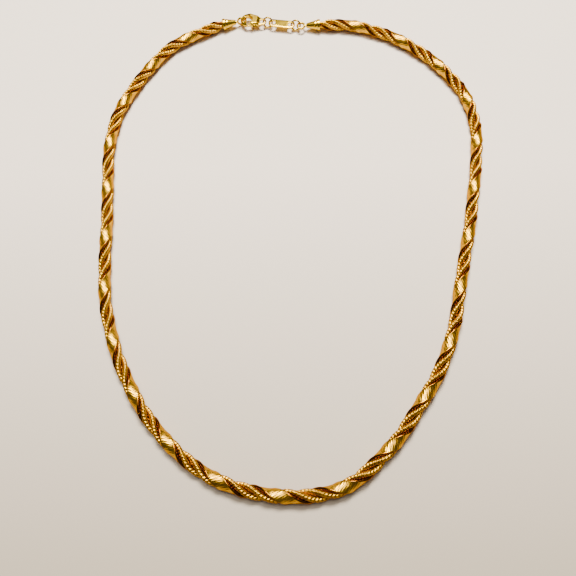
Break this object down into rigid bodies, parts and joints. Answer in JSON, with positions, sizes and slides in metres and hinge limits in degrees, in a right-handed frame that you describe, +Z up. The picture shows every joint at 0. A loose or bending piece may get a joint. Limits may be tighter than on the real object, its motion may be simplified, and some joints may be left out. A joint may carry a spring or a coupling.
{
  "type": "chain necklace",
  "caption": "Closed gold-coloured chain necklace: a ribbed band twisted with wire ropes between two end caps, joined by jump rings, a small tag and a lobster clasp.",
  "frame": {"origin": "middle of the underside of the closed, flat-lying necklace, where it rests on a table", "axes": "+Y along the loop towards the clasp, +X across the loop, +Z up from the table"},
  "size_m": [0.1234, 0.1663, 0.0039],
  "materials": {
    "band": "satin, finely ribbed",
    "rope": "fine twisted wire",
    "finding": "polished",
    "steel": "plain"
  },
  "bodies": {
    "left_end": {"left_end_band": "band", "left_end_rope_lead": "rope", "left_end_rope_trail": "rope", "left_end_cap": "finding", "left_eye_pin": "finding"},
    "left_shoulder": {"left_shoulder_band": "band", "left_shoulder_rope_lead": "rope", "left_shoulder_rope_trail": "rope"},
    "left_upper_link": {"left_upper_link_band": "band", "left_upper_link_rope_lead": "rope", "left_upper_link_rope_trail": "rope"},
    "left_side_upper": {"left_side_upper_band": "band", "left_side_upper_rope_lead": "rope", "left_side_upper_rope_trail": "rope"},
    "left_side_lower": {"left_side_lower_band": "band", "left_side_lower_rope_lead": "rope", "left_side_lower_rope_trail": "rope"},
    "left_lower_link": {"left_lower_link_band": "band", "left_lower_link_rope_lead": "rope", "left_lower_link_rope_trail": "rope"},
    "left_front": {"left_front_band": "band", "left_front_rope_lead": "rope", "left_front_rope_trail": "rope"},
    "bottom": {"bottom_band": "band", "bottom_rope_lead": "rope", "bottom_rope_trail": "rope"},
    "right_front": {"right_front_band": "band", "right_front_rope_lead": "rope", "right_front_rope_trail": "rope"},
    "right_lower_link": {"right_lower_link_band": "band", "right_lower_link_rope_lead": "rope", "right_lower_link_rope_trail": "rope"},
    "right_side_lower": {"right_side_lower_band": "band", "right_side_lower_rope_lead": "rope", "right_side_lower_rope_trail": "rope"},
    "right_side_upper": {"right_side_upper_band": "band", "right_side_upper_rope_lead": "rope", "right_side_upper_rope_trail": "rope"},
    "right_upper_link": {"right_upper_link_band": "band", "right_upper_link_rope_lead": "rope", "right_upper_link_rope_trail": "rope"},
    "right_shoulder": {"right_shoulder_band": "band", "right_shoulder_rope_lead": "rope", "right_shoulder_rope_trail": "rope"},
    "right_end": {"right_end_band": "band", "right_end_rope_lead": "rope", "right_end_rope_trail": "rope", "right_end_cap": "finding", "right_eye_pin": "finding"},
    "cap_ring": {"jump_ring_cap": "finding"},
    "tag": {"tag": "finding"},
    "clasp_ring": {"jump_ring_clasp": "finding"},
    "clasp": {"clasp_body": "finding", "clasp_pin": "steel", "clasp_spring": "steel"},
    "lever": {"clasp_lever": "finding"}
  },
  "joints": [
    {"name": "left_bottom_fold", "type": "hinge", "parent": "bottom", "child": "left_front", "pos_m": [-0.0319, -0.06949, 0.00195], "axis": [1, 0, 0], "range_deg": [-35, 35]},
    {"name": "left_front_sway", "type": "hinge", "parent": "left_front", "child": "left_lower_link", "pos_m": [-0.0487, -0.04649, 0.00195], "axis": [0, 0, 1], "range_deg": [-18, 18]},
    {"name": "left_lower_side_sway", "type": "hinge", "parent": "left_lower_link", "child": "left_side_lower", "pos_m": [-0.0562, -0.02249, 0.00195], "axis": [0, 0, 1], "range_deg": [-18, 18]},
    {"name": "left_middle_fold", "type": "hinge", "parent": "left_side_lower", "child": "left_side_upper", "pos_m": [-0.0581, 0.00351, 0.00195], "axis": [1, 0, 0], "range_deg": [-35, 35]},
    {"name": "left_upper_side_sway", "type": "hinge", "parent": "left_side_upper", "child": "left_upper_link", "pos_m": [-0.0598, 0.03051, 0.00195], "axis": [0, 0, 1], "range_deg": [-18, 18]},
    {"name": "left_shoulder_sway", "type": "hinge", "parent": "left_upper_link", "child": "left_shoulder", "pos_m": [-0.0523, 0.05451, 0.00195], "axis": [0, 0, 1], "range_deg": [-18, 18]},
    {"name": "left_top_fold", "type": "hinge", "parent": "left_shoulder", "child": "left_end", "pos_m": [-0.0434, 0.06751, 0.00195], "axis": [1, 0, 0], "range_deg": [-35, 35]},
    {"name": "right_bottom_fold", "type": "hinge", "parent": "bottom", "child": "right_front", "pos_m": [0.0256, -0.06949, 0.00195], "axis": [1, 0, 0], "range_deg": [-35, 35]},
    {"name": "right_front_sway", "type": "hinge", "parent": "right_front", "child": "right_lower_link", "pos_m": [0.0418, -0.04649, 0.00195], "axis": [0, 0, 1], "range_deg": [-18, 18]},
    {"name": "right_lower_side_sway", "type": "hinge", "parent": "right_lower_link", "child": "right_side_lower", "pos_m": [0.0493, -0.02249, 0.00195], "axis": [0, 0, 1], "range_deg": [-18, 18]},
    {"name": "right_middle_fold", "type": "hinge", "parent": "right_side_lower", "child": "right_side_upper", "pos_m": [0.0556, 0.00351, 0.00195], "axis": [1, 0, 0], "range_deg": [-35, 35]},
    {"name": "right_upper_side_sway", "type": "hinge", "parent": "right_side_upper", "child": "right_upper_link", "pos_m": [0.0598, 0.03051, 0.00195], "axis": [0, 0, 1], "range_deg": [-18, 18]},
    {"name": "right_shoulder_sway", "type": "hinge", "parent": "right_upper_link", "child": "right_shoulder", "pos_m": [0.0523, 0.05451, 0.00195], "axis": [0, 0, 1], "range_deg": [-18, 18]},
    {"name": "right_top_fold", "type": "hinge", "parent": "right_shoulder", "child": "right_end", "pos_m": [0.0396, 0.06751, 0.00195], "axis": [1, 0, 0], "range_deg": [-35, 35]},
    {"name": "cap_ring_roll", "type": "hinge", "parent": "right_end", "child": "cap_ring", "pos_m": [-0.0159, 0.08031, 0.00195], "axis": [0.9848, -0.1736, 0], "range_deg": [0, 70]},
    {"name": "tag_roll", "type": "hinge", "parent": "cap_ring", "child": "tag", "pos_m": [-0.0159, 0.08031, 0.00195], "axis": [0.9848, -0.1736, 0], "range_deg": [-70, 0]},
    {"name": "clasp_ring_roll", "type": "hinge", "parent": "tag", "child": "clasp_ring", "pos_m": [-0.0159, 0.08031, 0.00195], "axis": [0.9848, -0.1736, 0], "range_deg": [0, 70]},
    {"name": "clasp_roll", "type": "hinge", "parent": "clasp_ring", "child": "clasp", "pos_m": [-0.0159, 0.08031, 0.00195], "axis": [0.9848, -0.1736, 0], "range_deg": [-70, 0]},
    {"name": "clasp_lever_open", "type": "hinge", "parent": "clasp", "child": "lever", "pos_m": [-0.01284, 0.07865, 0.00195], "axis": [0, 0, 1], "range_deg": [-22, 0], "stiffness_Nm_per_rad": 0.0005, "springref_deg": 17.19}
  ],
  "couplings": [
    {"joint": "left_lower_side_sway", "follows": "left_front_sway", "ratio": -1},
    {"joint": "left_upper_side_sway", "follows": "left_front_sway", "ratio": -1},
    {"joint": "left_shoulder_sway", "follows": "left_front_sway", "ratio": 1},
    {"joint": "right_bottom_fold", "follows": "left_bottom_fold", "ratio": 1},
    {"joint": "right_front_sway", "follows": "left_front_sway", "ratio": -1},
    {"joint": "right_lower_side_sway", "follows": "left_front_sway", "ratio": 1},
    {"joint": "right_middle_fold", "follows": "left_middle_fold", "ratio": 1},
    {"joint": "right_upper_side_sway", "follows": "left_front_sway", "ratio": 1},
    {"joint": "right_shoulder_sway", "follows": "left_front_sway", "ratio": -1},
    {"joint": "right_top_fold", "follows": "left_top_fold", "ratio": 1},
    {"joint": "clasp_ring_roll", "follows": "tag_roll", "ratio": -1},
    {"joint": "clasp_roll", "follows": "cap_ring_roll", "ratio": -1}
  ]
}
